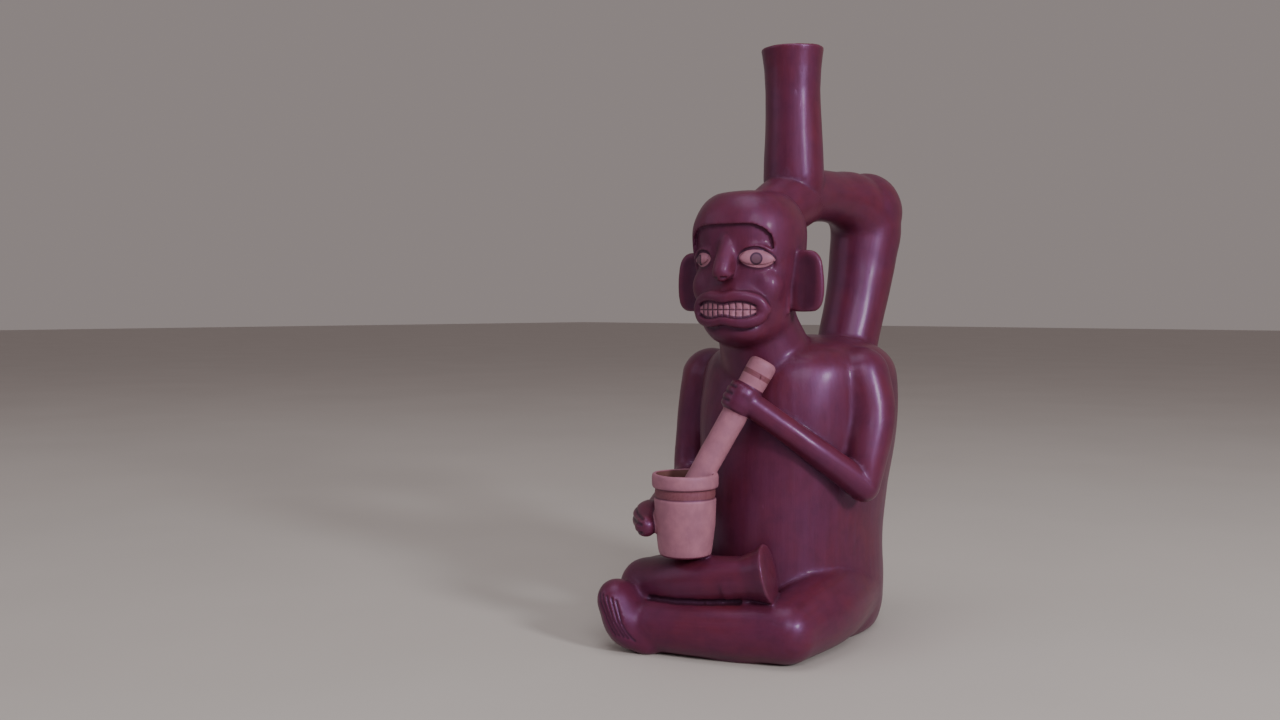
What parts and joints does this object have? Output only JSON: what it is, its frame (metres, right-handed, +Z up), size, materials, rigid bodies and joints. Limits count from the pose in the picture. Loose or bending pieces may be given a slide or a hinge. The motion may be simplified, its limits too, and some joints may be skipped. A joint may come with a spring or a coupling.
{
  "type": "stirrup spout vessel",
  "caption": "Hollow burnished clay bottle shaped as a seated figure working a pestle in a mortar, with a stirrup handle and spout on its head.",
  "frame": {"origin": "centre of the plan bounding box, on the flat underside", "axes": "+Z up, through the spout; the seated figure faces -Y and its left side is +X"},
  "size_m": [0.1136, 0.1798, 0.2784],
  "materials": {
    "burnished_clay": "burnished dark maroon slip with cream slip on pestle, mortar, eyes and teeth"
  },
  "bodies": {
    "root": {"vessel": "burnished_clay"}
  },
  "joints": []
}
